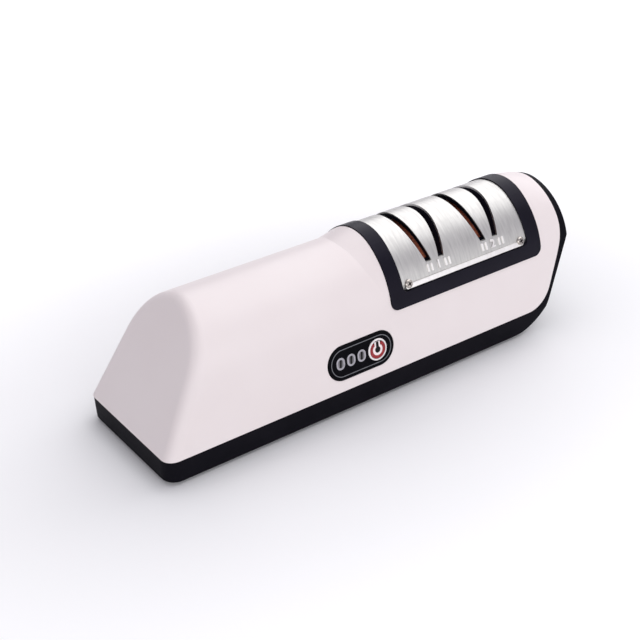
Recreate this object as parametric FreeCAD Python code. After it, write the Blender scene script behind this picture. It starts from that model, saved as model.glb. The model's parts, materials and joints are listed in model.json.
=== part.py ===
import FreeCAD, Part
import math
import os
from FreeCAD import Matrix, Placement, Rotation, Vector

# Millimetres. X runs along the body with the grinding head at +X, Y goes from front to back, and Z goes up
# from the bottom of the rubber feet. Names that end in _h are heights above the seam of the two housings.
body_len = 203.0
body_w = 58.6
crown_h = 50.0
base_h = 9.8
foot_proud = 1.0
wall = 2.4

# The arched section: straight sides that lean in, a side arc and a crown arc, all tangent
side_lean = 10.6
straight_h = 25.6
crown_draw = 10.5
handle_drop = 2.5

# The sloping left end and its soft edge, and the plan of the tray
end_lean = 27.9
end_round = 5.0
end_hollow_cut = 2.4
tray_corner_r = 5.5
tray_draft = 0.4
tray_edge = 1.0

# The right end, where the black tray wraps up into an end wall
end_wall = 3.1
seam_slope = 67.0
seam_low_r = 14.0
seam_high_r = 45.0
seam_high_h = 37.6
heel_r = 25.0
heel_lean = 26.0
crease_h = 28.0
tail_len = 16.0
tail_drop = 3.2
parting = 0.1

# The black saddle over the head, and the shoulder of the white housing beside it
saddle_from_end = 97.0
saddle_w = 81.0
saddle_low_h = 24.0
saddle_corner_r = 3.6
saddle_proud = 0.4
saddle_fit = 0.2
saddle_lap = 1.5
saddle_lap_t = 1.3
saddle_ledge = 3.0
shoulder_len = 12.2
shoulder_gap = 0.8
shoulder_inset = 0.8

# The steel cover in the saddle, and the tilted knife slots in pairs
cover_left_band = 6.7
cover_right_band = 7.3
cover_low_h = 30.0
cover_strip = 2.5
cover_corner_r = 2.0
cover_t = 0.7
cover_sunk = 0.1
cover_fit = 0.1
cover_screw_span = 60.4
cover_screw_h = 32.3
cover_screw_r = 1.75
cover_screw_top = 0.75
cross_w = 0.5
cross_len = 2.0
cross_deep = 0.5
bridge_t = 1.7
slot_pitch = 29.2
slot_w = 2.8
slot_flare = 0.085
slot_tilt = 15.7
slot_low_h = 37.2
slot_half_gap = 3.2
web_t = 1.5
web_low_h = 34.5

# The grinding wheels, their shaft and its bearings
wheel_side_room = 9.0
wheel_top_gap = 2.6
wheel_t = 6.0
hub_r = 8.0
hub_bore_fit = 0.02
hub_lip = 1.6
shaft_r = 2.5
running_gap = 0.05
bush_r = 5.0
bush_t = 5.0
bush_seat_fit = 0.02
stand_half = 12.5
stand_wall = 3.6
bearing_cap_h = 7.5
cap_screw_y = 9.2
cap_screw_r = 1.25
drive_stand_from_wheel = 7.2
end_stand_from_wheel = 11.5
spacer_r = 4.0
collar_r = 5.5
collar_t = 3.5
side_play = 0.3

# The motor, its plate and the coupling
motor_r = 13.85
motor_len = 35.2
motor_cap_len = 3.5
motor_nose_r = 5.0
motor_nose_len = 2.0
motor_shaft_r = 1.6
motor_screw_y = 8.0
motor_screw_r = 1.25
plate_t = 2.0
plate_r = 18.5
coupling_r = 5.5
coupling_len = 11.0
rib_t = 2.5
rib_fit = 0.15

# The lithium cells, side by side in the handle
cell_r = 9.1
cell_gap = 0.6
cell_end_room = 14.5
strap_t = 0.3

# The control panel on the front side, with its windows and its button
panel_from_saddle = 17.0
panel_mid_h = 11.7
panel_len = 32.3
panel_tall = 14.4
panel_t = 1.7
panel_proud = 0.3
panel_fit = 0.1
panel_rim = 2.4
window_u = (-10.1, -5.0, 0.1)
window_w = 4.0
window_tall = 5.0
button_u = 7.8
ring_r = 4.5
button_r = 3.7
button_gap = 0.12
button_proud = 0.5
board_depth = 7.0
board_t = 1.6
board_len = 27.0
board_tall = 18.0
switch_h = 3.2
plunger_r = 1.6
plunger_h = 0.7

# Charging board and inlet at the back of the tray, screws and feet
charge_from_plate = 16.0
charge_w = 22.0
charge_deep = 20.0
charge_stand = 1.8
inlet_w = 8.9
inlet_h = 3.2
inlet_len = 7.3
inlet_fit = 0.3
boss_r = 3.3
boss_inset = 6.8
boss_from_left = 16.0
boss_from_right = 32.5
boss_top_h = 20.0
housing_screw_r = 1.4
screw_head_r = 2.8
foot_r = 4.5
foot_sunk = 0.6
foot_from_left = 30.0
foot_from_right = 55.0
foot_inset = 10.0

half_w = body_w / 2
left = -body_len / 2
right = body_len / 2
seam_z = foot_proud + base_h
floor_h = wall - base_h
lean = math.radians(side_lean)
crown_r = half_w - crown_draw
handle_h = crown_h - handle_drop
saddle_x0 = right - saddle_from_end
saddle_x1 = saddle_x0 + saddle_w
shoulder_x1 = saddle_x0 - shoulder_gap
shoulder_x0 = shoulder_x1 - shoulder_len
tail_x0 = right - tail_len
cover_x0 = saddle_x0 + cover_left_band
cover_x1 = saddle_x1 - cover_right_band
cover_mid = (cover_x0 + cover_x1) / 2
cover_in = cover_sunk + cover_t
bridge_out = cover_in + cover_fit
bridge_in = bridge_out + bridge_t
wheel_r = half_w - wheel_side_room
axis_h = crown_h - bridge_in - wheel_top_gap - wheel_r
axis_z = seam_z + axis_h
fine_x = cover_mid - slot_pitch / 2
coarse_x = cover_mid + slot_pitch / 2
drive_stand_x = fine_x - drive_stand_from_wheel
end_stand_x = coarse_x + end_stand_from_wheel
plate_x1 = shoulder_x1
plate_x0 = plate_x1 - plate_t
motor_x0 = plate_x0 - motor_len
motor_back = motor_x0 - motor_cap_len
cell_x0 = left + cell_end_room
cell_x1 = motor_back - strap_t - 0.6
cell_y = cell_r + cell_gap / 2
cell_h = floor_h + cell_r + 0.4
boss_y = half_w - boss_inset
boss_xs = (left + boss_from_left, right - boss_from_right)
lap_in = wall + 0.1 + saddle_lap_t
beyond = 30.0


def up(height):
    return seam_z + height


def box(x0, x1, y0, y1, h0, h1):
    return Part.makeBox(x1 - x0, y1 - y0, h1 - h0, Vector(x0, y0, up(h0)))


def rod(radius, x0, x1, y=0.0, height=None):
    centre = axis_z if height is None else up(height)
    return Part.makeCylinder(radius, x1 - x0, Vector(x0, y, centre), Vector(1, 0, 0))


def post(radius, x, y, h0, h1):
    return Part.makeCylinder(radius, h1 - h0, Vector(x, y, up(h0)))


def tube(radius, bore, x0, x1):
    return rod(radius, x0, x1).cut(rod(bore, x0 - 1, x1 + 1))


# The arched section. The crown circle stands on the middle, and the side circle is the one that is tangent
# to it and to the end of the straight side.
def arch_arcs(crown):
    crown_c = crown - crown_r
    py = half_w - straight_h * math.tan(lean)
    dz = straight_h - crown_c
    toward = crown_r - py * math.cos(lean) - dz * math.sin(lean)
    side_r = (crown_r ** 2 - py ** 2 - dz ** 2) / (2 * toward)
    side_y = py - side_r * math.cos(lean)
    side_c = straight_h - side_r * math.sin(lean)
    meet = math.atan2(crown_c - side_c, -side_y)
    return side_r, side_y, side_c, meet


def arch_wire(x, crown, inset=0.0, foot=None):
    # with foot, a height, the stretch below it stands upright
    side_r, side_y, side_c, meet = arch_arcs(crown)
    reach = side_r - inset

    def on_side(angle):
        return Vector(x, side_y + reach * math.cos(angle), up(side_c + reach * math.sin(angle)))

    start = lean if foot is None else math.asin((foot - side_c) / reach)
    low_y = half_w - inset / math.cos(lean) if foot is None else on_side(start).y
    near = [Vector(x, low_y, up(0)), on_side(start), on_side((start + meet) / 2), on_side(meet)]
    far = [Vector(x, -p.y, p.z) for p in near]
    top = Vector(x, 0, up(crown - inset))
    return Part.Wire([
        Part.makeLine(near[0], near[1]),
        Part.Arc(near[1], near[2], near[3]).toShape(),
        Part.Arc(near[3], top, far[3]).toShape(),
        Part.Arc(far[3], far[2], far[1]).toShape(),
        Part.makeLine(far[1], far[0]),
        Part.makeLine(far[0], near[0])])


def arch(x0, x1, crown, inset=0.0, foot=None):
    return Part.Face(arch_wire(x0, crown, inset, foot)).extrude(Vector(x1 - x0, 0, 0))


def tail(inset):
    # the head's crown falls away in a soft curve towards the right end
    wires = []
    for step in (0.0, 0.35, 0.7, 1.05):
        wires.append(arch_wire(tail_x0 + tail_len * step, crown_h - tail_drop * step ** 1.7, inset))
    return Part.makeLoft(wires, True, False)


# Outlines seen from the front, as prisms that reach right across the body. A pair is a corner, and a pair
# of pairs is the middle and the end of an arc.
def across(outline, y0=-2 * beyond, y1=2 * beyond):
    first = Vector(outline[0][0], y0, up(outline[0][1]))
    last = first
    edges = []
    for item in outline[1:]:
        if isinstance(item[0], tuple):
            mid = Vector(item[0][0], y0, up(item[0][1]))
            end = Vector(item[1][0], y0, up(item[1][1]))
            edges.append(Part.Arc(last, mid, end).toShape())
        else:
            end = Vector(item[0], y0, up(item[1]))
            edges.append(Part.makeLine(last, end))
        last = end
    edges.append(Part.makeLine(last, first))
    return Part.Face(Part.Wire(edges)).extrude(Vector(0, y1 - y0, 0))


def on_circle(cx, ch, radius, degrees):
    angle = math.radians(degrees)
    return cx + radius * math.cos(angle), ch + radius * math.sin(angle)


def arc_to(cx, ch, radius, from_degrees, to_degrees):
    middle = (from_degrees + to_degrees) / 2
    return on_circle(cx, ch, radius, middle), on_circle(cx, ch, radius, to_degrees)


def white_side(off):
    # all that lies above the seam and left of the end wall, off away from both
    turn = seam_slope - 90
    slope = math.radians(seam_slope)
    high_x = right - end_wall - seam_high_r
    qx, qh = on_circle(high_x, seam_high_h, seam_high_r, turn)
    low_x = qx - (seam_low_r - (seam_low_r - qh) * math.cos(slope)) / math.sin(slope)
    low_r = seam_low_r - off
    high_r = seam_high_r - off
    tall = crown_h + beyond
    return across([
        (left - beyond, off), (low_x, off), arc_to(low_x, seam_low_r, low_r, -90, turn),
        on_circle(high_x, seam_high_h, high_r, turn), arc_to(high_x, seam_high_h, high_r, turn, 0),
        (high_x + high_r, tall), (left - beyond, tall)])


def heel_side(off):
    # the tray's bottom, its heel and the crisp crease of its end, all moved in by off
    slope = math.radians(heel_lean)
    ch = heel_r - base_h
    cx = right - (heel_r + (crease_h - ch) * math.sin(slope)) / math.cos(slope)
    radius = heel_r - off
    tx, th = on_circle(cx, ch, radius, -heel_lean)
    top_x = right - off
    top_h = th + (top_x - tx) / math.tan(slope)
    tall = crown_h + beyond
    return across([
        (left - beyond, off - base_h), (cx, off - base_h), arc_to(cx, ch, radius, -90, -heel_lean),
        (top_x, top_h), (top_x, tall), (left - beyond, tall)])


def sloping_side(off):
    slope = math.tan(math.radians(end_lean))
    shift = left + off / math.cos(math.radians(end_lean))
    tall = crown_h + beyond
    return across([(shift - beyond * slope, -beyond), (right + beyond, -beyond),
                   (right + beyond, tall), (shift + tall * slope, tall)])


def window(x0, x1, h0, radius):
    # an opening over the crown, open at the top, with rounded lower corners
    tall = crown_h + beyond
    return across([(x0, tall), (x0, h0 + radius), arc_to(x0 + radius, h0 + radius, radius, 180, 270),
                   (x1 - radius, h0), arc_to(x1 - radius, h0 + radius, radius, 270, 360), (x1, tall)])


def end_edges(shape, plane_x):
    # the edges round the sloping end that stand on the plane which meets the seam at plane_x
    slope = math.tan(math.radians(end_lean))
    edges = []
    for edge in shape.Edges:
        ends = [vertex.Point for vertex in edge.Vertexes]
        off_plane = max(abs(p.x - plane_x - (p.z - seam_z) * slope) for p in ends)
        if off_plane < 1e-4 and max(p.z for p in ends) > seam_z + 1:
            edges.append(edge)
    return edges


def handle_hollow(x1):
    # the hollow's own edge at the sloping end is cut off flat, so that the wall is even there
    hollow = arch(left - 1, x1, handle_h, wall).common(sloping_side(wall))
    plane_x = left + wall / math.cos(math.radians(end_lean))
    return hollow.makeChamfer(end_hollow_cut, end_edges(hollow, plane_x))


# Places on the front side, in the panel's own axes: u along the body, v up the side and n outwards
def panel_place():
    mid = Vector(saddle_x0 - panel_from_saddle, panel_mid_h * math.tan(lean) - half_w, up(panel_mid_h))
    c = math.cos(lean)
    s = math.sin(lean)
    return Placement(Matrix(1, 0, 0, mid.x, 0, s, -c, mid.y, 0, c, s, mid.z, 0, 0, 0, 1))


def on_panel(shape):
    placed = shape.copy()
    placed.Placement = panel_place().multiply(placed.Placement)
    return placed


def pill(length, tall, n0, n1, u=0.0):
    r = min(length, tall) / 2
    if length >= tall:
        a, b, side = Vector(u - length / 2 + r, 0, n0), Vector(u + length / 2 - r, 0, n0), Vector(0, r, 0)
        ends = (Vector(b.x + r, 0, n0), Vector(a.x - r, 0, n0))
    else:
        a, b, side = Vector(u, tall / 2 - r, n0), Vector(u, r - tall / 2, n0), Vector(r, 0, 0)
        ends = (Vector(u, b.y - r, n0), Vector(u, a.y + r, n0))
    outline = Part.Wire([
        Part.makeLine(a + side, b + side), Part.Arc(b + side, ends[0], b - side).toShape(),
        Part.makeLine(b - side, a - side), Part.Arc(a - side, ends[1], a + side).toShape()])
    return Part.Face(outline).extrude(Vector(0, 0, n1 - n0))


def peg(radius, n0, n1, u=0.0, v=0.0):
    return Part.makeCylinder(radius, n1 - n0, Vector(u, v, n0))


def slot_tool(pair_x, side, low, faces=((-1, 0.0), (1, 0.0))):
    # a tilted slab across the body, which leans away from the wheel and widens as it rises. Each face is the
    # share of the slot's half width at which it lies, and a distance beyond that.
    slope = math.tan(math.radians(slot_tilt))
    tall = beyond + 50.0

    def at(height, face):
        rise = height - slot_low_h
        share, more = face
        half = (slot_w + slot_flare * rise) / 2 * share
        return pair_x + side * (slot_half_gap + rise * slope + half + more), height

    near, far = faces
    return across([at(low, near), at(low, far), at(tall, far), at(tall, near)])


def all_slots():
    tools = [slot_tool(x, side, slot_low_h) for x in (fine_x, coarse_x) for side in (-1, 1)]
    return tools[0].fuse(tools[1:])


def make_upper_housing():
    shoulder = Part.makeLoft([arch_wire(shoulder_x0, handle_h, shoulder_inset),
                              arch_wire(shoulder_x1, crown_h)], True, True)
    outside = arch(left - 1, shoulder_x1 + 1.0, handle_h).common(sloping_side(0.0))
    outside = outside.makeFillet(end_round, end_edges(outside, left))
    outside = outside.fuse([shoulder, arch(shoulder_x1, tail_x0, crown_h), tail(0.0)])
    outside = outside.common(white_side(parting)).removeSplitter()
    inside = handle_hollow(shoulder_x1 - 1.0)
    inside = inside.fuse([arch(shoulder_x1 - 1.7, tail_x0, crown_h, wall), tail(wall)])
    shell = outside.cut(inside)
    shell = shell.cut(window(saddle_x0 - saddle_fit, saddle_x1 + saddle_fit,
                             saddle_low_h - saddle_fit, saddle_corner_r + saddle_fit))
    bosses = []
    for number, x in enumerate(boss_xs):
        top = handle_h if number == 0 else boss_top_h
        for y in (-boss_y, boss_y):
            bosses.append(post(boss_r, x, y, parting, top))
            rib = box(x - 0.8, x + 0.8, min(y, y * 1.25), max(y, y * 1.25), parting, top)
            bosses.append(rib)
    bosses = [b.common(outside) for b in bosses]
    seats = [on_panel(peg(2.3, -board_depth, -1.8, u, v)) for u, v in board_screw_places()]
    shell = shell.fuse(bosses + seats).removeSplitter()
    holes = [post(housing_screw_r - 0.25, x, y, -1, 14.0) for x in boss_xs for y in (-boss_y, boss_y)]
    holes += [on_panel(peg(0.8, -board_depth - 1, -3.0, u, v)) for u, v in board_screw_places()]
    pocket = pill(panel_len + 2 * panel_fit, panel_tall + 2 * panel_fit, panel_proud - panel_t, beyond / 6)
    through = pill(panel_len - 2 * panel_rim, panel_tall - 2 * panel_rim, -5.0, 1.0)
    return shell.cut(holes + [on_panel(pocket), on_panel(through)])


def board_screw_places():
    return ((-10.5, 7.2), (-10.5, -7.2), (11.5, 7.2), (11.5, -7.2))


def rounded_plan(height, draw, x1):
    r = tray_corner_r
    x0 = left + draw
    y = half_w - draw
    z = up(height)
    corner = r * (1 - math.sqrt(0.5))
    return Part.Wire([
        Part.makeLine(Vector(x1, -y, z), Vector(x0 + r, -y, z)),
        Part.Arc(Vector(x0 + r, -y, z), Vector(x0 + corner, -y + corner, z), Vector(x0, -y + r, z)).toShape(),
        Part.makeLine(Vector(x0, -y + r, z), Vector(x0, y - r, z)),
        Part.Arc(Vector(x0, y - r, z), Vector(x0 + corner, y - corner, z), Vector(x0 + r, y, z)).toShape(),
        Part.makeLine(Vector(x0 + r, y, z), Vector(x1, y, z)),
        Part.makeLine(Vector(x1, y, z), Vector(x1, -y, z))])


def make_lower_housing():
    # the bottom edge is eased in two flats
    tray = Part.makeLoft([rounded_plan(-base_h, tray_draft + tray_edge, right + 1),
                          rounded_plan(-base_h + 0.3 * tray_edge, tray_draft + 0.3 * tray_edge, right + 1),
                          rounded_plan(-base_h + tray_edge, tray_draft, right + 1),
                          rounded_plan(0.0, 0.0, right + 1)], True, True)
    cavity = Part.makeLoft([rounded_plan(floor_h, tray_draft + wall, right + 1),
                            rounded_plan(0.5, wall, right + 1)], True, True)
    cavity = cavity.common(heel_side(wall))
    end = arch(right - end_wall - 25.0, tail_x0, crown_h).fuse(tail(0.0)).cut(white_side(0.0))
    body = tray.fuse(end).common(heel_side(0.0)).removeSplitter()
    inside_end = tail(wall).fuse(arch(right - end_wall - 26.0, tail_x0, crown_h, wall)).common(heel_side(wall))
    body = body.cut(cavity).cut(inside_end.common(box(left, right - end_wall - 1, -half_w, half_w, -1, 12.0)))
    adds = [post(boss_r, x, y, floor_h - 1, -parting) for x in boss_xs for y in (-boss_y, boss_y)]
    adds += stands() + cradles() + charge_posts()
    adds = [a.common(heel_side(1.0)) for a in adds]
    body = body.fuse(adds).removeSplitter()
    holes = []
    for x in boss_xs:
        for y in (-boss_y, boss_y):
            holes.append(post(housing_screw_r + 0.2, x, y, -base_h - 1, 1))
            holes.append(post(screw_head_r + 0.3, x, y, -base_h - 1, screw_seat_h()))
    holes += [post(foot_r + 0.1, x, y, -base_h - 1, foot_sunk - base_h) for x, y in foot_places()]
    holes += [post(cap_screw_r - 0.3, x, y, axis_h - 9, axis_h + 1)
              for x in (drive_stand_x, end_stand_x) for y in (-cap_screw_y, cap_screw_y)]
    holes += [post(0.8, x, y, charge_low_h() - 2.5, charge_low_h() + 1) for x, y in charge_screw_places()]
    holes.append(inlet_hole())
    return body.cut(holes)


def screw_seat_h():
    return floor_h + 1.6


def foot_places():
    y = half_w - foot_inset
    return [(x, side * y) for x in (left + foot_from_left, right - foot_from_right) for side in (-1, 1)]


def stands():
    # the two bearing stands, each a wall across the tray with a half-round seat
    made = []
    for x in (drive_stand_x, end_stand_x):
        wall_block = box(x - bush_t / 2, x + bush_t / 2, -stand_half, stand_half, floor_h - 1, axis_h)
        foot_web = box(x - stand_wall, x + stand_wall, -2.0, 2.0, floor_h - 1, axis_h - bush_r - 5)
        made.append(wall_block.fuse(foot_web).cut(rod(bush_r + bush_seat_fit, x - 9, x + 9)))
    return made


def cradles():
    made = []
    rear = box(motor_x0 + 5, motor_x0 + 5 + rib_t, -motor_r - 2, motor_r + 2, floor_h - 1, axis_h - 4)
    made.append(rear.cut(rod(motor_r + rib_fit, motor_x0 - 9, plate_x1)))
    for x in (plate_x0 - 0.1 - 1.6, plate_x1 + 0.1):
        for side in (-1, 1):
            y0, y1 = sorted((side * (plate_r - 4), side * (plate_r + 1.5)))
            made.append(box(x, x + 1.6, y0, y1, floor_h - 1, -0.3))
    for share in (0.15, 0.5, 0.85):
        x = cell_x0 + (cell_x1 - cell_x0) * share
        rib = box(x - 1, x + 1, -cell_y - cell_r + 1, cell_y + cell_r - 1, floor_h - 1, cell_h - 3.0)
        for side in (-1, 1):
            rib = rib.cut(rod(cell_r + rib_fit, x - 3, x + 3, side * cell_y, cell_h))
        made.append(rib)
    return made


def charge_low_h():
    return floor_h + charge_stand


def charge_mid_x():
    return plate_x0 - charge_from_plate


def charge_y1():
    return half_w - wall - 1.0


def charge_screw_places():
    x = charge_mid_x()
    y = charge_y1() - charge_deep + 3.0
    return ((x - charge_w / 2 + 3.0, y), (x + charge_w / 2 - 3.0, y))


def charge_posts():
    return [post(2.4, x, y, floor_h - 1, charge_low_h()) for x, y in charge_screw_places()]


def inlet_shape(grow, y0, y1):
    w = inlet_w + 2 * grow
    h = inlet_h + 2 * grow
    r = h / 2 - 0.05
    mid = charge_low_h() + board_t + inlet_h / 2
    core = across([(charge_mid_x() - w / 2 + r, mid - h / 2), (charge_mid_x() + w / 2 - r, mid - h / 2),
                   ((charge_mid_x() + w / 2, mid), (charge_mid_x() + w / 2 - r, mid + h / 2)),
                   (charge_mid_x() - w / 2 + r, mid + h / 2),
                   ((charge_mid_x() - w / 2, mid), (charge_mid_x() - w / 2 + r, mid - h / 2 + 0.001))],
                  y0, y1)
    return core


def inlet_hole():
    return inlet_shape(inlet_fit, charge_y1() - 3, half_w + 3)


def make_blade_guide():
    # frame, ledge, slotted bridge and guide webs of the saddle, in one moulding
    reach0, reach1 = saddle_x0 - saddle_lap, saddle_x1 + saddle_lap
    frame = arch(saddle_x0, saddle_x1, crown_h, -saddle_proud).cut(arch(saddle_x0 - 1, saddle_x1 + 1, crown_h,
                                                                        bridge_in))
    frame = frame.common(window(saddle_x0, saddle_x1, saddle_low_h, saddle_corner_r))
    lap = arch(reach0, reach1, crown_h, wall + 0.1).cut(arch(reach0 - 1, reach1 + 1, crown_h, lap_in))
    lap = lap.common(window(reach0, reach1, saddle_low_h - saddle_lap, saddle_corner_r + saddle_lap))
    lap = lap.cut(window(saddle_x0 + saddle_ledge, saddle_x1 - saddle_ledge,
                         saddle_low_h + saddle_ledge, saddle_corner_r))
    recess = window(cover_x0 - cover_fit, cover_x1 + cover_fit, cover_low_h - cover_fit,
                    cover_corner_r + cover_fit)
    recess = recess.cut(arch(saddle_x0, saddle_x1, crown_h, bridge_out, cover_low_h + cover_strip))
    inner = arch(saddle_x0, saddle_x1, crown_h, bridge_in - 0.4)
    webs = []
    for x in (fine_x, coarse_x):
        for side in (-1, 1):
            webs.append(slot_tool(x, side, web_low_h, ((1, 0.0), (1, web_t))).common(inner))
    body = frame.fuse([lap] + webs)
    seats = []
    for x, side in cover_screw_places():
        seats.append(screw_line(x, side, 2.6, -cover_in - cover_fit - 5.0, -cover_in - cover_fit - 0.8))
    body = body.fuse(seats).removeSplitter()
    holes = [screw_line(x, side, 0.85, -8.0, 1.0) for x, side in cover_screw_places()]
    return body.cut([recess, all_slots()] + holes)


def cover_screw_places():
    return [(cover_mid + end * cover_screw_span / 2, side) for end in (-1, 1) for side in (-1, 1)]


def screw_axis(x, side):
    # the way out and the place on the arch's surface of one screw of the cover
    side_r, side_y, side_c = arch_arcs(crown_h)[:3]
    angle = math.asin((cover_screw_h - side_c) / side_r)
    out = Vector(0, side * math.cos(angle), math.sin(angle))
    return out, Vector(x, side * (side_y + side_r * math.cos(angle)), up(cover_screw_h))


def screw_line(x, side, radius, n0, n1):
    # a cylinder square to the cover at a screw, from n0 to n1 outside the arch's surface
    out, at = screw_axis(x, side)
    return Part.makeCylinder(radius, n1 - n0, at + out * n0, out)


def make_steel_cover():
    foot = cover_low_h + cover_strip
    sheet = arch(cover_x0, cover_x1, crown_h, cover_sunk, foot)
    sheet = sheet.cut(arch(cover_x0 - 1, cover_x1 + 1, crown_h, cover_in, foot))
    sheet = sheet.common(window(cover_x0, cover_x1, cover_low_h, cover_corner_r))
    holes = [screw_line(x, side, 1.05, -4.0, 2.0) for x, side in cover_screw_places()]
    return sheet.cut([all_slots()] + holes)


def make_cover_screws():
    made = []
    for turn, (x, side) in enumerate(cover_screw_places()):
        shank = screw_line(x, side, 0.85, -6.5, -cover_sunk + 0.1)
        head = screw_line(x, side, cover_screw_r, -cover_sunk + 0.08, cover_screw_top)
        rim = [e for e in head.Edges if e.Closed and distance_out(e) > cover_screw_top - 0.05]
        head = head.makeChamfer(0.4, rim).fuse(shank).removeSplitter()
        made.append(head.cut(cross_recess(x, side, 25.0 + 40.0 * turn)))
    return Part.makeCompound(made)


def cross_recess(x, side, degrees):
    # two crossed slots sunk in a screw's head, turned by degrees
    out, at = screw_axis(x, side)
    bar = Part.makeBox(cross_len, cross_w, 1.0, Vector(-cross_len / 2, -cross_w / 2, 0))
    bars = bar.fuse(bar.rotated(Vector(0, 0, 0), Vector(0, 0, 1), 90))
    bars.rotate(Vector(0, 0, 0), Vector(0, 0, 1), degrees)
    bars.Placement = Placement(at + out * (cover_screw_top - cross_deep),
                               Rotation(Vector(0, 0, 1), out)).multiply(bars.Placement)
    return bars


def distance_out(edge):
    # how far outside the arch's surface the middle of an edge lies
    side_r, side_y, side_c = arch_arcs(crown_h)[:3]
    mid = edge.BoundBox.Center
    return math.hypot(abs(mid.y) - side_y, mid.z - up(side_c)) - side_r


def make_wheel(x):
    wheel = tube(wheel_r, hub_r, x - wheel_t / 2, x + wheel_t / 2)
    edges = [e for e in wheel.Edges if e.Closed and abs(e.Curve.Radius - wheel_r) < 1e-6]
    return wheel.makeChamfer(0.5, edges)


def make_hub(x):
    flange = rod(hub_r + hub_lip, x + wheel_t / 2, x + wheel_t / 2 + 1.2)
    core = rod(hub_r - hub_bore_fit, x - wheel_t / 2 - 1.2, x + wheel_t / 2 + 1.2)
    return flange.fuse(core).cut(rod(shaft_r + 0.01, x - 9, x + 9)).removeSplitter()


def make_bearing_cap(x):
    block = box(x - bush_t / 2, x + bush_t / 2, -stand_half, stand_half, axis_h, axis_h + bearing_cap_h)
    edges = [e for e in block.Edges if min(v.Z for v in e.Vertexes) > axis_z + 1
             and e.BoundBox.XLength > 1 and e.BoundBox.YLength < 0.1]
    block = block.makeChamfer(3.0, edges)
    block = block.cut(rod(bush_r + bush_seat_fit, x - 9, x + 9))
    return block.cut([post(cap_screw_r + 0.15, x, y, axis_h - 1, axis_h + 20)
                      for y in (-cap_screw_y, cap_screw_y)]
                     + [post(2.5, x, y, axis_h + 4.0, axis_h + 20) for y in (-cap_screw_y, cap_screw_y)])


def screw(x, y, head_h, length, shank_r, head_r, head_t, sign=1):
    # a pan-head screw whose head seats at head_h, pointing down, or up with sign -1
    if sign > 0:
        shank = post(shank_r, x, y, head_h - length, head_h + 0.1)
        return shank.fuse(post(head_r, x, y, head_h, head_h + head_t))
    shank = post(shank_r, x, y, head_h - 0.1, head_h + length)
    return shank.fuse(post(head_r, x, y, head_h - head_t, head_h))


def make_panel():
    plate = pill(panel_len, panel_tall, panel_proud - panel_t, panel_proud)
    top = [e for e in plate.Edges if min(v.Z for v in e.Vertexes) > panel_proud - 0.01]
    plate = plate.makeChamfer(0.3, top)
    holes = [pill(window_w + 0.1, window_tall + 0.1, -5, 5, u) for u in window_u]
    holes.append(peg(ring_r + 0.02, -5, 5, button_u))
    return on_panel(plate.cut(holes))


def make_lens(u):
    face = pill(window_w, window_tall, -1.6, panel_proud - 0.1, u)
    flange = pill(window_w + 0.7, window_tall + 0.9, -2.6, panel_proud - panel_t - 0.05, u)
    return on_panel(face.fuse(flange).removeSplitter())


def make_ring():
    ring = peg(ring_r, panel_proud - panel_t, panel_proud + 0.35, button_u)
    outer = [e for e in ring.Edges if e.Closed and e.BoundBox.ZMin > panel_proud]
    ring = ring.makeChamfer(0.2, outer)
    return on_panel(ring.cut(peg(button_r + button_gap, -5, 5, button_u)))


def make_button():
    cap = peg(button_r, -2.2, button_proud, button_u)
    outer = [e for e in cap.Edges if e.Closed and e.BoundBox.ZMin > button_proud - 0.01]
    cap = cap.makeChamfer(0.25, outer)
    flange = peg(button_r + 0.7, -2.6, panel_proud - panel_t - 0.15, button_u)
    stem = peg(1.4, switch_top_n() + plunger_h + 0.02, -2.5, button_u)
    return on_panel(cap.fuse([flange, stem]).removeSplitter())


def switch_top_n():
    return -board_depth + switch_h


def make_switch():
    body = Part.makeBox(6, 6, switch_h - 0.05, Vector(button_u - 3, -3, -board_depth + 0.05))
    return on_panel(body.cut(peg(plunger_r + 0.15, switch_top_n() - 1.6, 1, button_u)))


def make_plunger():
    return on_panel(peg(plunger_r, switch_top_n() - 0.9, switch_top_n() + plunger_h, button_u))


def make_board():
    board = Part.makeBox(board_len, board_tall, board_t,
                         Vector(-board_len / 2 + 0.5, -board_tall / 2, -board_depth - board_t))
    return on_panel(board.cut([peg(1.1, -board_depth - 3, 0, u, v) for u, v in board_screw_places()]))


def make_board_screws():
    made = []
    for u, v in board_screw_places():
        head = peg(1.7, -board_depth - board_t - 1.1, -board_depth - board_t, u, v)
        made.append(on_panel(head.fuse(peg(0.8, -board_depth - board_t - 0.1, -3.2, u, v))))
    return Part.makeCompound(made)


def make_leds():
    return Part.makeCompound([on_panel(Part.makeBox(2.4, 3.2, 1.2, Vector(u - 1.2, -1.6, -board_depth + 0.02)))
                              for u in window_u])


def make_motor_can():
    can = rod(motor_r, motor_x0, plate_x0 - 0.02)
    ends = [e for e in can.Edges if e.Closed and e.BoundBox.Center.x > motor_x0 + 1]
    can = can.makeChamfer(1.2, ends)
    can = can.fuse(rod(motor_nose_r, plate_x0 - 1, plate_x0 + motor_nose_len))
    can = can.cut(rod(motor_shaft_r + running_gap, plate_x0 - 8, plate_x1 + 9))
    return can.cut([rod(motor_screw_r - 0.2, plate_x0 - 4, plate_x1 + 1, y)
                    for y in (-motor_screw_y, motor_screw_y)])


def make_motor_plate():
    low = box(plate_x0, plate_x1, -plate_r, plate_r, floor_h + 0.1, axis_h)
    plate = low.fuse(rod(plate_r, plate_x0, plate_x1))
    slots = [rod(motor_screw_r + 0.15, plate_x0 - 1, plate_x1 + 1, y) for y in (-motor_screw_y, motor_screw_y)]
    notch = rod(6.0, plate_x0 - 1, plate_x1 + 1, 0.0, floor_h + 4.0)
    return plate.removeSplitter().cut(slots + [notch, rod(motor_nose_r + 0.1, plate_x0 - 1, plate_x1 + 1)])


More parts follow.
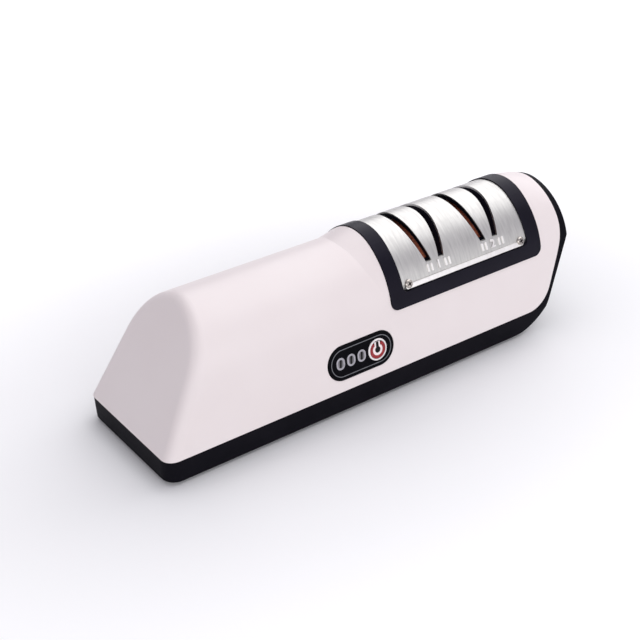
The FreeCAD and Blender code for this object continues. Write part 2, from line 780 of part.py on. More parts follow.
def make_motor_screws():
    made = []
    for y in (-motor_screw_y, motor_screw_y):
        head = rod(2.2, plate_x1, plate_x1 + 1.5, y)
        made.append(head.fuse(rod(motor_screw_r - 0.2, plate_x0 - 3, plate_x1 + 0.1, y)))
    return Part.makeCompound(made)


def make_motor_cap():
    cap = rod(motor_r - 1.3, motor_back, motor_x0)
    cap = cap.fuse(rod(4.5, motor_back - 0.4, motor_back + 1))
    return cap.removeSplitter()


def make_motor_terminals():
    return Part.makeCompound([box(motor_back - 0.5, motor_back, side * 8 - 1.2, side * 8 + 1.2,
                                  axis_h - 0.8, axis_h + 0.8) for side in (-1, 1)])


def make_straps():
    made = []
    for x in (cell_x0 - strap_t, cell_x1):
        made.append(box(x, x + strap_t, -cell_y - 3, cell_y + 3, cell_h - 3, cell_h + 3))
    return Part.makeCompound(made)


def make_cell(side):
    return rod(cell_r, cell_x0, cell_x1, side * cell_y, cell_h)


def make_charge_board():
    board = box(charge_mid_x() - charge_w / 2, charge_mid_x() + charge_w / 2, charge_y1() - charge_deep,
                charge_y1(), charge_low_h(), charge_low_h() + board_t)
    return board.cut([post(1.1, x, y, charge_low_h() - 1, charge_low_h() + 5) for x, y in charge_screw_places()])


def make_inlet():
    shell = inlet_shape(0.0, charge_y1() - inlet_len + 1.2, charge_y1() + 1.2)
    hollow = inlet_shape(-0.35, charge_y1() - inlet_len + 2.4, charge_y1() + 2)
    mid = charge_low_h() + board_t + inlet_h / 2
    tongue = box(charge_mid_x() - 3.3, charge_mid_x() + 3.3, charge_y1() - inlet_len + 2,
                 charge_y1() + 0.4, mid - 0.35, mid + 0.35)
    return shell.cut(hollow).fuse(tongue).removeSplitter()


rotor_x0 = plate_x0 + motor_nose_len + 0.6
coupling_x0 = rotor_x0
coupling_x1 = coupling_x0 + coupling_len
shaft_x0 = coupling_x0 + coupling_len / 2 + 0.5
shaft_x1 = end_stand_x + bush_t / 2 + 3.5
hub_out = wheel_t / 2 + 1.2

os.makedirs("parts", exist_ok=True)
nodes = {
    "upper_housing": make_upper_housing(),
    "lower_housing": make_lower_housing(),
    "blade_guide": make_blade_guide(),
    "steel_cover": make_steel_cover(),
    "cover_screws": make_cover_screws(),
    "control_panel": make_panel(),
    "button_ring": make_ring(),
    "power_button": make_button(),
    "switch_body": make_switch(),
    "switch_plunger": make_plunger(),
    "control_board": make_board(),
    "board_screws": make_board_screws(),
    "indicator_leds": make_leds(),
    "motor_can": make_motor_can(),
    "motor_end_cap": make_motor_cap(),
    "motor_terminals": make_motor_terminals(),
    "motor_plate": make_motor_plate(),
    "motor_screws": make_motor_screws(),
    "motor_shaft": rod(motor_shaft_r, plate_x0 - 7, shaft_x0 - 1),
    "shaft_coupling": tube(coupling_r, motor_shaft_r, coupling_x0, shaft_x0 - 0.5).fuse(
        tube(coupling_r, shaft_r, shaft_x0 - 0.5, coupling_x1)).removeSplitter(),
    "wheel_shaft": rod(shaft_r, shaft_x0, shaft_x1),
    "fine_wheel": make_wheel(fine_x),
    "coarse_wheel": make_wheel(coarse_x),
    "fine_hub": make_hub(fine_x),
    "coarse_hub": make_hub(coarse_x),
    "wheel_spacer": tube(spacer_r, shaft_r + 0.01, fine_x + hub_out, coarse_x - hub_out),
    "lock_collar": tube(collar_r, shaft_r + 0.01, coarse_x + hub_out, coarse_x + hub_out + collar_t),
    "shaft_clip": tube(4.5, shaft_r + 0.01, end_stand_x + bush_t / 2 + side_play,
                       end_stand_x + bush_t / 2 + side_play + 0.8),
    "drive_bearing": tube(bush_r, shaft_r + running_gap, drive_stand_x - bush_t / 2, drive_stand_x + bush_t / 2),
    "end_bearing": tube(bush_r, shaft_r + running_gap, end_stand_x - bush_t / 2, end_stand_x + bush_t / 2),
    "drive_bearing_cap": make_bearing_cap(drive_stand_x),
    "end_bearing_cap": make_bearing_cap(end_stand_x),
    "cap_screws": Part.makeCompound([
        screw(x, y, axis_h + 4.0, 9.0, cap_screw_r - 0.3, 2.2, 1.5)
        for x in (drive_stand_x, end_stand_x) for y in (-cap_screw_y, cap_screw_y)]),
    "battery_cell_1": make_cell(-1),
    "battery_cell_2": make_cell(1),
    "battery_straps": make_straps(),
    "charge_board": make_charge_board(),
    "charge_screws": Part.makeCompound([
        screw(x, y, charge_low_h() + board_t, 4.0, 0.8, 1.7, 1.1) for x, y in charge_screw_places()]),
    "usb_inlet": make_inlet(),
    "housing_screws": Part.makeCompound([
        screw(x, y, screw_seat_h(), 15.0, housing_screw_r - 0.25, screw_head_r, 2.0, -1)
        for x in boss_xs for y in (-boss_y, boss_y)]),
}
for number, u in enumerate(window_u, 1):
    nodes["indicator_lens_%d" % number] = make_lens(u)
for number, (x, y) in enumerate(foot_places(), 1):
    foot = post(foot_r, x, y, -base_h - foot_proud, foot_sunk - base_h)
    rim = [e for e in foot.Edges if e.Closed and e.BoundBox.ZMax < 0.01]
    nodes["foot_%d" % number] = foot.makeChamfer(0.3, rim)
for name, shape in nodes.items():
    shape.exportStep("parts/%s.step" % name)
    print(name, len(shape.Solids), round(shape.Volume, 1), "ok" if shape.isValid() else "NOT VALID")
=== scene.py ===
import bpy
import bmesh
import json
import math
from mathutils import Matrix, Vector


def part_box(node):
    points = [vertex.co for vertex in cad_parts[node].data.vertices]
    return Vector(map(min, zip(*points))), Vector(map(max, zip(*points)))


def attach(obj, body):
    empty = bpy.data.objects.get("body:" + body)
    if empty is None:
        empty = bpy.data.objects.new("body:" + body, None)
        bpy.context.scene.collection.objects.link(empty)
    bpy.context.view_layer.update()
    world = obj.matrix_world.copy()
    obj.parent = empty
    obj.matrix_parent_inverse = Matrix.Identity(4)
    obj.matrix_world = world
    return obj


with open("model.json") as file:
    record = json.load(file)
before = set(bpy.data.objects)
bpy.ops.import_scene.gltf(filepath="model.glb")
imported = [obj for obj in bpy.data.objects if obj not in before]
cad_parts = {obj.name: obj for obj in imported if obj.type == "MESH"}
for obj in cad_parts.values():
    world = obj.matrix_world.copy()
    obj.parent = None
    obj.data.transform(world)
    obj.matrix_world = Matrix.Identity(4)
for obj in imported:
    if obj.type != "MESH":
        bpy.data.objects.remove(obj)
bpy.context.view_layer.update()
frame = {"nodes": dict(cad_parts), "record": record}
mm = 0.001  # sizes of pieces and textures are in millimetres, those of the stage and the lamps in metres


def linear(code):
    # an sRGB hex value as linear red, green, blue and alpha
    channels = [int(code[i:i + 2], 16) / 255 for i in (1, 3, 5)]
    return [c / 12.92 if c <= 0.04045 else ((c + 0.055) / 1.055) ** 2.4 for c in channels] + [1.0]


def addNode(tree, kind, settings, links=None):
    # a socket goes by its label, or by its number where labels repeat
    node = tree.nodes.new(kind)
    for name, value in settings.items():
        if name == "stops":
            for stop, (place, code) in zip(node.color_ramp.elements, value):
                stop.position = place
                stop.color = linear(code)
        elif isinstance(name, int) or name in node.inputs:
            node.inputs[name].default_value = value
        else:
            setattr(node, name, value)
    for name, source in (links or {}).items():
        tree.links.new(source, node.inputs[name])
    return node


# Noise keeps mostly between low and high, so the tones and the roughness are spread over that span
noise = {"low": 0.3, "high": 0.7, "mottleDetail": 3.0, "grainDetail": 2.0}


def makeMaterial(name, look):
    # patch is the size of the soft mottle in the colour, grain and depth are those of the surface texture
    material = bpy.data.materials.new(name)
    material.use_nodes = True
    tree = material.node_tree
    tree.nodes.clear()
    stretch = look.get("stretch", (1, 1, 1))
    place = addNode(tree, "ShaderNodeTexCoord", {}).outputs["Object"]
    turned = addNode(tree, "ShaderNodeMapping", {"Scale": stretch}, {"Vector": place}).outputs["Vector"]
    mottle = addNode(tree, "ShaderNodeTexNoise",
                     {"Scale": 1 / (look["patch"] * mm), "Detail": noise["mottleDetail"]},
                     {"Vector": turned}).outputs["Fac"]
    stops = list(zip((noise["low"], noise["high"]), look["tones"]))
    colour = addNode(tree, "ShaderNodeValToRGB", {"stops": stops}, {"Fac": mottle}).outputs["Color"]
    grain = addNode(tree, "ShaderNodeTexNoise",
                    {"Scale": 1 / (look["grain"] * mm), "Detail": noise["grainDetail"]},
                    {"Vector": turned}).outputs["Fac"]
    rough = addNode(tree, "ShaderNodeMapRange",
                    {"From Min": noise["low"], "From Max": noise["high"],
                     "To Min": look["rough"][0], "To Max": look["rough"][1]},
                    {"Value": grain}).outputs["Result"]
    bump = addNode(tree, "ShaderNodeBump", {"Strength": 1.0, "Distance": look["depth"] * mm},
                   {"Height": grain}).outputs["Normal"]
    settings = {"Metallic": look.get("metallic", 0.0), "Specular IOR Level": look.get("shine", 0.5),
                "Specular Tint": linear(look.get("shineTint", "#ffffff")),
                "Coat Weight": look.get("coat", 0.0), "Coat Roughness": look.get("coatRough", 0.1)}
    if "ior" in look:
        settings["IOR"] = look["ior"]
    surface = addNode(tree, "ShaderNodeBsdfPrincipled", settings,
                      {"Base Color": colour, "Roughness": rough, "Normal": bump})
    addNode(tree, "ShaderNodeOutputMaterial", {}, {"Surface": surface.outputs["BSDF"]})
    return material


# Glossy white ABS, injection moulded: a clean warm white with a soft broad shine and a trace of flow mottle
whiteAbs = makeMaterial("glossyWhiteAbs", {
    "tones": ("#ece2e1", "#efe6e5"), "patch": 38, "grain": 1.6, "depth": 0.002,
    "rough": (0.40, 0.46), "ior": 1.5, "coat": 0.1, "coatRough": 0.35})

# Black ABS with a fine spark texture, moulded: the tray and the end, near black with a dull grey sheen
blackAbs = makeMaterial("texturedBlackAbs", {
    "tones": ("#100f15", "#15141a"), "patch": 14, "grain": 0.5, "depth": 0.02,
    "rough": (0.42, 0.52), "ior": 1.5, "shine": 0.03})

# Black ABS from a finer mould: the saddle, smoother, with a violet grey sheen along its crown
saddleAbs = makeMaterial("smoothBlackAbs", {
    "tones": ("#100f17", "#15141d"), "patch": 12, "grain": 0.6, "depth": 0.008,
    "rough": (0.32, 0.4), "ior": 1.52, "shine": 0.14, "shineTint": "#d3cbe6"})

# Stainless steel, belt brushed round the arch; the lines are drawn coarser than the real 0.1 mm ones, to show
brushedSteel = makeMaterial("brushedStainlessSteel", {
    "tones": ("#bcbbb8", "#cecdc9"), "patch": 6, "grain": 2.4, "depth": 0.0025,
    "rough": (0.38, 0.44), "metallic": 1.0, "stretch": (7, 0.8, 0.8)})

# A brighter copy of the cover's steel for the raised stage marks and the folded hem: its paler tone is
# painted highlight
paintedHighlightSteel = makeMaterial("steelWithPaintedHighlight", {
    "tones": ("#ece9e6", "#f6f4f1"), "patch": 6, "grain": 1.5, "depth": 0.002, "rough": (0.34, 0.4),
    "metallic": 1.0, "stretch": (4, 1, 1)})

# Nickel plated steel, cold headed: the screws, bright with a faint warm cast
nickelSteel = makeMaterial("nickelPlatedSteel", {
    "tones": ("#aaa39c", "#c9c3bb"), "patch": 2.5, "grain": 0.5, "depth": 0.003,
    "rough": (0.16, 0.24), "metallic": 1.0})

# A near black finish at the bottom of the screws' recesses: painted shade
paintedRecessShade = makeMaterial("paintedRecessShade", {
    "tones": ("#0e0c0c", "#161313"), "patch": 1, "grain": 0.3, "depth": 0.002, "rough": (0.6, 0.7),
    "ior": 1.5, "shine": 0.1})

# Polished black acrylic: the panel's face
panelAcrylic = makeMaterial("polishedBlackAcrylic", {
    "tones": ("#08080c", "#0c0c11"), "patch": 9, "grain": 2.0, "depth": 0.001, "rough": (0.14, 0.2),
    "ior": 1.49, "shine": 0.03})

# White ABS of the button's ring
ringAbs = makeMaterial("ringWhiteAbs", {
    "tones": ("#f2ecec", "#f7f2f2"), "patch": 6, "grain": 0.8, "depth": 0.002,
    "rough": (0.28, 0.34), "ior": 1.5})

# Pad printing inks of the button and the panel, thin and slightly dull
redInk = makeMaterial("padPrintRed", {
    "tones": ("#8c0f18", "#9c151e"), "patch": 2, "grain": 0.3, "depth": 0.002,
    "rough": (0.35, 0.45), "ior": 1.5})
whiteInk = makeMaterial("padPrintWhite", {
    "tones": ("#f4e4e4", "#faeeee"), "patch": 2, "grain": 0.3, "depth": 0.002, "rough": (0.4, 0.5),
    "ior": 1.5})
greyInk = makeMaterial("padPrintGrey", {
    "tones": ("#63656a", "#75777b"), "patch": 3, "grain": 0.3, "depth": 0.002, "rough": (0.4, 0.5),
    "ior": 1.5})
blackInk = makeMaterial("padPrintBlack", {
    "tones": ("#0b090a", "#100e0f"), "patch": 2, "grain": 0.3, "depth": 0.002, "rough": (0.3, 0.4),
    "ior": 1.5, "shine": 0.12})

# Smoky polycarbonate of the indicator windows and the paler rim moulded round each
smokyLens = makeMaterial("smokyPolycarbonate", {
    "tones": ("#636166", "#737176"), "patch": 3, "grain": 0.4, "depth": 0.002, "rough": (0.2, 0.3),
    "ior": 1.58})
lensRim = makeMaterial("paleLensRim", {
    "tones": ("#9c9aa1", "#b1afb6"), "patch": 2, "grain": 0.4, "depth": 0.002, "rough": (0.3, 0.4),
    "ior": 1.58})

# Resin bonded abrasive, pressed: red brown grit, drawn at 0.5 mm on the coarse wheel and finer on the other
fineGrit = makeMaterial("fineBondedAbrasive", {
    "tones": ("#9c4c34", "#cf7352"), "patch": 0.8, "grain": 0.3, "depth": 0.04,
    "rough": (0.75, 0.95), "ior": 1.6})
coarseGrit = makeMaterial("coarseBondedAbrasive", {
    "tones": ("#904530", "#c96c4c"), "patch": 1.2, "grain": 0.5, "depth": 0.08,
    "rough": (0.75, 0.95), "ior": 1.6})

# Finishes of the parts inside and underneath
plainLooks = {
    "zincPlatedSteel": {"tones": ("#a3a6a9", "#b9bcbe"), "patch": 7, "grain": 1.0, "depth": 0.003,
                        "rough": (0.3, 0.42), "metallic": 1.0},
    "groundSteel": {"tones": ("#b3b4b6", "#c7c8ca"), "patch": 3, "grain": 0.6, "depth": 0.002,
                    "rough": (0.22, 0.3), "metallic": 1.0},
    "sinteredBronze": {"tones": ("#8f6a3c", "#a67c48"), "patch": 2, "grain": 0.4, "depth": 0.01,
                       "rough": (0.4, 0.55), "metallic": 1.0},
    "tinnedBrass": {"tones": ("#c9b477", "#d8c78f"), "patch": 2, "grain": 0.5, "depth": 0.002,
                    "rough": (0.25, 0.35), "metallic": 1.0},
    "solderMaskGreen": {"tones": ("#164c2b", "#1d5a34"), "patch": 5, "grain": 0.5, "depth": 0.004,
                        "rough": (0.3, 0.4), "ior": 1.5},
    "shrinkSleeveBlue": {"tones": ("#24507f", "#2b5c90"), "patch": 8, "grain": 1.0, "depth": 0.004,
                         "rough": (0.25, 0.35), "ior": 1.5},
    "glassFilledNylon": {"tones": ("#1c1c1e", "#262629"), "patch": 3, "grain": 0.4, "depth": 0.01,
                         "rough": (0.5, 0.65), "ior": 1.53},
    "mouldedRubber": {"tones": ("#161616", "#1e1e1e"), "patch": 4, "grain": 0.5, "depth": 0.02,
                      "rough": (0.7, 0.85), "ior": 1.52},
    "clearEpoxyLed": {"tones": ("#d8d7c9", "#e4e3d7"), "patch": 2, "grain": 0.4, "depth": 0.002,
                      "rough": (0.2, 0.3), "ior": 1.55},
}
plain = {name: makeMaterial(name, look) for name, look in plainLooks.items()}
print("materials made")

slotFinish = {
    "white_housing": whiteAbs, "black_tray": blackAbs, "black_saddle": saddleAbs, "cover_steel": brushedSteel,
    "screw_steel": nickelSteel, "panel_black": panelAcrylic, "ring_white": ringAbs, "button_black": blackInk,
    "lens_grey": smokyLens, "fine_abrasive": fineGrit, "coarse_abrasive": coarseGrit,
    "switch_black": plain["glassFilledNylon"], "board_green": plain["solderMaskGreen"],
    "led_body": plain["clearEpoxyLed"], "motor_steel": plain["zincPlatedSteel"],
    "terminal_brass": plain["tinnedBrass"], "plate_steel": plain["zincPlatedSteel"],
    "shaft_steel": plain["groundSteel"], "coupling_rubber": plain["mouldedRubber"],
    "hub_plastic": plain["glassFilledNylon"], "bush_bronze": plain["sinteredBronze"],
    "cell_sleeve": plain["shrinkSleeveBlue"], "inlet_steel": plain["groundSteel"],
    "foot_rubber": plain["mouldedRubber"]}
for part in frame["record"]["subparts"]:
    mesh = frame["nodes"][part["node"]].data
    mesh.materials.clear()
    mesh.materials.append(slotFinish[part["material_slot"]])
print("finishes on the nodes")


def addObject(name, data):
    made = bpy.data.objects.new(name, data)
    bpy.context.scene.collection.objects.link(made)
    return made


def makePiece(name, bm, material, body, place):
    # the bmesh is in millimetres on its own plane, and place puts it on the object
    bmesh.ops.transform(bm, matrix=place @ Matrix.Scale(mm, 4), verts=bm.verts)
    bmesh.ops.recalc_face_normals(bm, faces=bm.faces)
    mesh = bpy.data.meshes.new(name)
    bm.to_mesh(mesh)
    bm.free()
    mesh.materials.append(material)
    piece = addObject(name, mesh)
    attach(piece, body)


def raiseFaces(bm, faces, height):
    raised = bmesh.ops.extrude_face_region(bm, geom=faces)
    corners = [item for item in raised["geom"] if isinstance(item, bmesh.types.BMVert)]
    bmesh.ops.translate(bm, verts=corners, vec=(0, 0, height))


def softenRim(bm, width):
    # a small round along the rim of the raised face, found by its height
    level = max(vert.co.z for vert in bm.verts) - width / 100
    rimEdges = [edge for edge in bm.edges if min(vert.co.z for vert in edge.verts) > level]
    bmesh.ops.bevel(bm, geom=rimEdges, offset=width, offset_type="OFFSET", affect="EDGES", segments=2,
                    profile=0.5, material=-1)


def pillFace(bm, length, tall, segments):
    # a capped circle whose halves are moved apart along its longer way
    radius = min(length, tall) / 2
    made = bmesh.ops.create_circle(bm, cap_ends=True, segments=segments, radius=radius)
    for vert in made["verts"]:
        if length > tall:
            vert.co.x += math.copysign(length / 2 - radius, vert.co.x)
        else:
            vert.co.y += math.copysign(tall / 2 - radius, vert.co.y)
    return bm.faces[:]


def pillPad(length, tall, height, segments, rounding=0):
    bm = bmesh.new()
    raiseFaces(bm, pillFace(bm, length, tall, segments), height)
    if rounding:
        softenRim(bm, rounding)
    return bm


def pillRing(length, tall, width, height, segments):
    bm = bmesh.new()
    faces = pillFace(bm, length, tall, segments)
    bmesh.ops.inset_region(bm, faces=faces, thickness=width, use_boundary=True, use_even_offset=True)
    bmesh.ops.delete(bm, geom=faces, context="FACES")
    raiseFaces(bm, bm.faces[:], height)
    return bm


def middleOf(node):
    # along the body, in millimetres
    low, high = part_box(node)
    return (low[0] + high[0]) / 2 / mm


# Sizes of the housing and the panel that the marks are placed by, the same as in the part's source
shell = {"halfWidth": 29.3, "straight": 25.6, "crown": 50.0, "draw": 10.5, "seam": 10.8}
panel = {"length": 32.3, "tall": 14.4, "lean": 10.6, "proud": 0.3, "level": 11.7}
sideLean = math.radians(panel["lean"])


def onPanel(x, out):
    # a place on the panel's middle line: x along the body, y up the leaning side, z outwards
    upwards = Vector((0, math.sin(sideLean), math.cos(sideLean)))
    outwards = Vector((0, -math.cos(sideLean), math.sin(sideLean)))
    side = panel["level"] * math.tan(sideLean) - shell["halfWidth"]
    spot = Vector((x, side, shell["seam"] + panel["level"])) + outwards * (panel["proud"] + out)
    axes = Matrix((Vector((1, 0, 0)), upwards, outwards)).transposed().to_4x4()
    return Matrix.Translation(spot * mm) @ axes


# A thin grey line printed round the panel, just inside its edge
line = {"inset": 1.5, "width": 0.32, "height": 0.04, "segments": 48}
makePiece("panelLine",
          pillRing(panel["length"] - 2 * line["inset"], panel["tall"] - 2 * line["inset"],
                   line["width"], line["height"], line["segments"]),
          greyInk, "housing", onPanel(middleOf("control_panel"), 0))

# Each indicator has a pale rim and a dark slit, on a window that lies a little under the panel's face
rim = {"wide": 4.0, "tall": 5.0, "width": 0.75, "height": 0.06, "under": 0.1, "segments": 48}
slit = {"wide": 0.9, "tall": 3.3, "height": 0.08, "tilt": 6, "segments": 24}
for number in (1, 2, 3):
    place = onPanel(middleOf("indicator_lens_%d" % number), -rim["under"])
    makePiece("indicatorRim%d" % number,
              pillRing(rim["wide"], rim["tall"], rim["width"], rim["height"], rim["segments"]),
              lensRim, "housing", place)
    turn = Matrix.Rotation(math.radians(-slit["tilt"]), 4, "Z")
    makePiece("indicatorSlit%d" % number,
              pillPad(slit["wide"], slit["tall"], slit["height"], slit["segments"]),
              blackInk, "housing", place @ turn)
print("panel marks made")

# The button's face: a red ring open at the top, and a black keyhole in a white outline that joins the ring
button = {"proud": 0.5, "segments": 64,
          "redIn": 2.3, "redOut": 3.66, "redTurn": 294, "redHeight": 0.05, "redSteps": 60,
          "outline": 2.35, "outlineBar": 1.35, "outlineTop": 3.4, "outlineHeight": 0.07,
          "hole": 1.3, "holeBar": 0.66, "holeTop": 3.3, "holeHeight": 0.09,
          "beside": 1.25}  # how far out corners are drawn to the bar's side, in widths of the bar


def openRing(inner, outer, turn, height, steps):
    start = math.radians(90 + (360 - turn) / 2)
    bm = bmesh.new()
    way = Vector((math.cos(start), math.sin(start), 0))
    ends = [bm.verts.new(way * radius) for radius in (inner, outer)]
    edge = bm.edges.new(ends)
    bmesh.ops.spin(bm, geom=ends + [edge], cent=(0, 0, 0), axis=(0, 0, 1), dvec=(0, 0, 0),
                   angle=math.radians(turn), steps=steps, use_merge=False, use_duplicate=False)
    raiseFaces(bm, bm.faces[:], height)
    return bm


def keyhole(radius, barHalf, top, height):
    # a disc whose upper corners are moved up within the bar's width and to its side just beside it
    bm = bmesh.new()
    made = bmesh.ops.create_circle(bm, cap_ends=True, segments=button["segments"], radius=radius)
    for vert in made["verts"]:
        if vert.co.y > 0 and abs(vert.co.x) < barHalf:
            vert.co.y = top
        elif vert.co.y > 0 and abs(vert.co.x) < barHalf * button["beside"]:
            vert.co.x = math.copysign(barHalf, vert.co.x)
    raiseFaces(bm, bm.faces[:], height)
    return bm


place = onPanel(middleOf("button_ring"), button["proud"] - panel["proud"])
makePiece("redRing",
          openRing(button["redIn"], button["redOut"], button["redTurn"], button["redHeight"],
                   button["redSteps"]),
          redInk, "button", place)
makePiece("keyholeOutline",
          keyhole(button["outline"], button["outlineBar"], button["outlineTop"], button["outlineHeight"]),
          whiteInk, "button", place)
makePiece("keyhole",
          keyhole(button["hole"], button["holeBar"], button["holeTop"], button["holeHeight"]),
          blackInk, "button", place)
print("button face made")

# Stage marks pressed up from the steel cover under each pair of slots, a number between short ribs, in the
# brighter steel whose tone is painted highlight.
# The side of the arch there is a large circle, so a small flat mark lies on it, its foot sunk in the steel.
# A number is fontShare of its font size tall, and swell thickens its strokes.
mark = {"tall": 3.3, "height": 0.42, "sunk": 0.1, "level": 35.1, "pitch": 29.2, "shift": 1.0,
        "ribs": (-5.6, -3.6, 3.6, 5.6), "ribWide": 0.95, "ribTall": 3.3, "round": 0.14, "segments": 16,
        "fontShare": 0.72, "swell": 0.12, "weld": 0.001}
cover = {"inset": 0.1, "middle": middleOf("steel_cover")}  # inset is how deep it lies in the saddle


def sideCircle():
    # the circle that is tangent to the crown and to the top of the straight side
    crownRadius = shell["halfWidth"] - shell["draw"]
    y = shell["halfWidth"] - shell["straight"] * math.tan(sideLean)
    z = shell["straight"] - (shell["crown"] - crownRadius)
    toward = crownRadius - y * math.cos(sideLean) - z * math.sin(sideLean)
    radius = (crownRadius ** 2 - y ** 2 - z ** 2) / (2 * toward)
    return radius, y - radius * math.cos(sideLean), shell["straight"] - radius * math.sin(sideLean)


def onCover(x, level, out, side=-1):
    radius, y, z = sideCircle()
    angle = math.asin((level - z) / radius)
    outwards = Vector((0, side * math.cos(angle), math.sin(angle)))
    upwards = Vector((0, -side * math.sin(angle), math.cos(angle)))
    reach = radius - cover["inset"] + out
    height = shell["seam"] + z + reach * math.sin(angle)
    spot = Vector((x, side * (y + reach * math.cos(angle)), height)) * mm
    axes = Matrix((upwards.cross(outwards), upwards, outwards)).transposed().to_4x4()
    return Matrix.Translation(spot) @ axes


def numberMesh(text):
    curve = bpy.data.curves.new("number", "FONT")
    curve.body = text
    curve.align_x = "CENTER"
    curve.align_y = "CENTER"
    curve.size = mark["tall"] / mark["fontShare"]
    curve.extrude = (mark["height"] + mark["sunk"]) / 2
    curve.offset = mark["swell"]
    letter = addObject("number", curve)
    shape = bpy.data.meshes.new_from_object(letter.evaluated_get(bpy.context.evaluated_depsgraph_get()))
    bpy.data.objects.remove(letter)
    bm = bmesh.new()
    bm.from_mesh(shape)
    bmesh.ops.remove_doubles(bm, verts=bm.verts, dist=mark["weld"])
    return bm


for text, way in (("1", -1), ("2", 1)):
    centre = cover["middle"] + way * mark["pitch"] / 2 + mark["shift"]
    makePiece("stageNumber" + text, numberMesh(text), paintedHighlightSteel, "housing",
              onCover(centre, mark["level"], (mark["height"] - mark["sunk"]) / 2))
    for count, offset in enumerate(mark["ribs"], 1):
        makePiece("stageRib%s_%d" % (text, count),
                  pillPad(mark["ribWide"], mark["ribTall"], mark["height"] + mark["sunk"],
                          mark["segments"], mark["round"]),
                  paintedHighlightSteel, "housing",
                  onCover(centre + offset, mark["level"], -mark["sunk"]))
print("stage marks made")

# The folded hem along each lower edge of the cover, drawn as a brighter strip: its pale tone is painted
# highlight where the strip faces the light
hem = {"length": 63.6, "tall": 2.1, "level": 31.3, "height": 0.14, "sunk": 0.1, "round": 0.08, "segments": 16}
for side, name in ((-1, "frontHem"), (1, "backHem")):
    makePiece(name,
              pillPad(hem["length"], hem["tall"], hem["height"] + hem["sunk"], hem["segments"], hem["round"]),
              paintedHighlightSteel, "housing",
              onCover(cover["middle"], hem["level"], -hem["sunk"], side))

# The dark depth of each cross recess: a near black disc inside the head that shows through the cross only,
# painted shade in the recess
recess = {"apart": 60.4, "level": 32.3, "wide": 2.2, "low": 0.4, "height": 0.3, "segments": 24}
for number, end, side in ((1, -1, -1), (3, -1, 1), (5, 1, -1), (7, 1, 1)):
    makePiece("recessPaintedShade%d" % number,
              pillPad(recess["wide"], recess["wide"], recess["height"], recess["segments"]),
              paintedRecessShade, "housing",
              onCover(cover["middle"] + end * recess["apart"] / 2, recess["level"], recess["low"], side))
print("hem and screw recesses made")

# A pale floor that keeps the soft shadow. What the camera sees of it is lifted to white by a painted glow,
# the more the farther it lies from the object, so round the object it stays darker as painted shade. What
# gloss mirrors of it is lifted by a share of that, and so is the room.
stage = {"size": 12.0, "tone": "#eeeeef", "lift": 1.0, "near": 0.05, "far": 0.44,
         "squeeze": (0.6, 1, 1), "mirrored": 0.3}  # squeeze makes the lift rise more slowly along the body
room = {"colour": (0.92, 0.89, 1, 1), "dim": 0.38, "bright": 1.0}


def seenShare(tree):
    # 1 for what the camera sees, straight or through glass, and less for what gloss mirrors
    rays = addNode(tree, "ShaderNodeLightPath", {}).outputs
    clear = addNode(tree, "ShaderNodeMath", {"operation": "MAXIMUM"},
                    {0: rays["Is Camera Ray"], 1: rays["Is Transmission Ray"]})
    return addNode(tree, "ShaderNodeMath", {"operation": "MULTIPLY_ADD", 1: stage["mirrored"]},
                   {0: rays["Is Glossy Ray"], 2: clear.outputs["Value"]}).outputs["Value"]


bm = bmesh.new()
bmesh.ops.create_grid(bm, x_segments=1, y_segments=1, size=stage["size"] / 2)
floorMesh = bpy.data.meshes.new("floor")
bm.to_mesh(floorMesh)
bm.free()
floor = addObject("floor", floorMesh)
paint = bpy.data.materials.new("paleCardWithPaintedGlow")
paint.use_nodes = True
tree = paint.node_tree
tree.nodes.clear()
spot = addNode(tree, "ShaderNodeTexCoord", {}).outputs["Object"]
spot = addNode(tree, "ShaderNodeMapping", {"Scale": stage["squeeze"]}, {"Vector": spot}).outputs["Vector"]
away = addNode(tree, "ShaderNodeVectorMath", {"operation": "LENGTH"}, {"Vector": spot}).outputs["Value"]
# the glow is none near the object and rises away from it: painted shade round the object, painted white far
# off
rise = addNode(tree, "ShaderNodeMapRange",
               {"From Min": stage["near"], "From Max": stage["far"], "To Max": stage["lift"]},
               {"Value": away}).outputs["Result"]
lifted = addNode(tree, "ShaderNodeMath", {"operation": "MULTIPLY"}, {0: seenShare(tree), 1: rise})
card = addNode(tree, "ShaderNodeBsdfDiffuse", {"Color": linear(stage["tone"])})
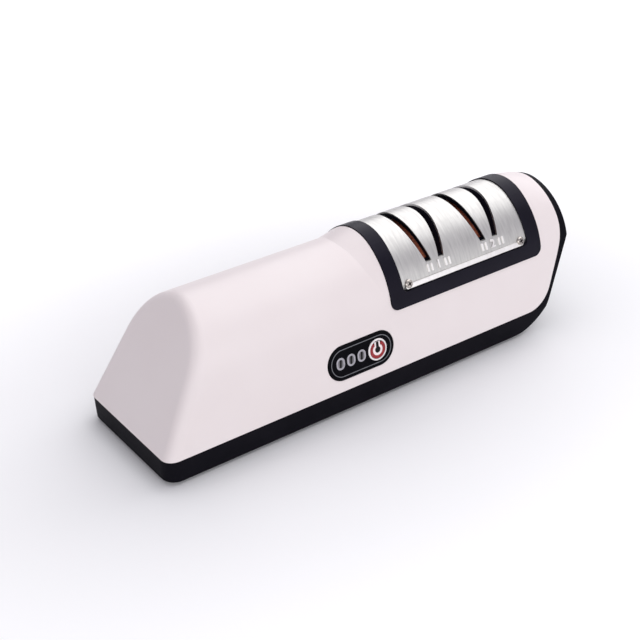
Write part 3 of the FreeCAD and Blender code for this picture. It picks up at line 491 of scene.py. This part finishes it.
glow = addNode(tree, "ShaderNodeEmission", {"Color": linear("#ffffff")},
               {"Strength": lifted.outputs["Value"]})
both = addNode(tree, "ShaderNodeAddShader", {}, {0: card.outputs["BSDF"], 1: glow.outputs["Emission"]})
addNode(tree, "ShaderNodeOutputMaterial", {}, {"Surface": both.outputs["Shader"]})
floorMesh.materials.append(paint)

world = bpy.data.worlds.new("softRoom")
bpy.context.scene.world = world
world.use_nodes = True
tree = world.node_tree
tree.nodes.clear()
strength = addNode(tree, "ShaderNodeMapRange", {"To Min": room["dim"], "To Max": room["bright"]},
                   {"Value": seenShare(tree)}).outputs["Result"]
sky = addNode(tree, "ShaderNodeBackground", {"Color": room["colour"]}, {"Strength": strength})
addNode(tree, "ShaderNodeOutputWorld", {}, {"Surface": sky.outputs["Background"]})


def addLamp(name, lamp):
    light = bpy.data.lights.new(name, "AREA")
    light.shape = "RECTANGLE"
    light.size, light.size_y = lamp["size"]
    light.energy = lamp["power"]
    holder = addObject(name, light)
    holder.location = lamp["at"]
    aim = Vector(lamp["to"]) - Vector(lamp["at"])
    holder.rotation_euler = aim.to_track_quat("-Z", "Y").to_euler()


addLamp("overheadSoftbox", {"at": (0.6, 0.27, 1.0), "to": (0, 0, 0.03), "size": (1.6, 2.2), "power": 16.5})
addLamp("frontSoftbox", {"at": (-0.35, -1.3, 0.45), "to": (0, 0, 0.03), "size": (3.1, 0.7), "power": 11.5})

# The camera looks down at 31 degrees from the front left. Its place and nearest clip are in millimetres.
view = {"at": (-278.95, -356.4, 292.7), "along": (0.51388, 0.68620, -0.51484), "lens": 73.125, "sensor": 36.0,
        "nearest": 10.0}
cameraData = bpy.data.cameras.new("camera")
cameraData.lens = view["lens"]
cameraData.sensor_width = view["sensor"]
cameraData.clip_start = view["nearest"] * mm
camera = addObject("camera", cameraData)
camera.location = Vector(view["at"]) * mm
camera.rotation_euler = Vector(view["along"]).to_track_quat("-Z", "Y").to_euler()
bpy.context.scene.camera = camera
bpy.context.scene.view_settings.view_transform = "Standard"
print("stage, lamps and camera set")
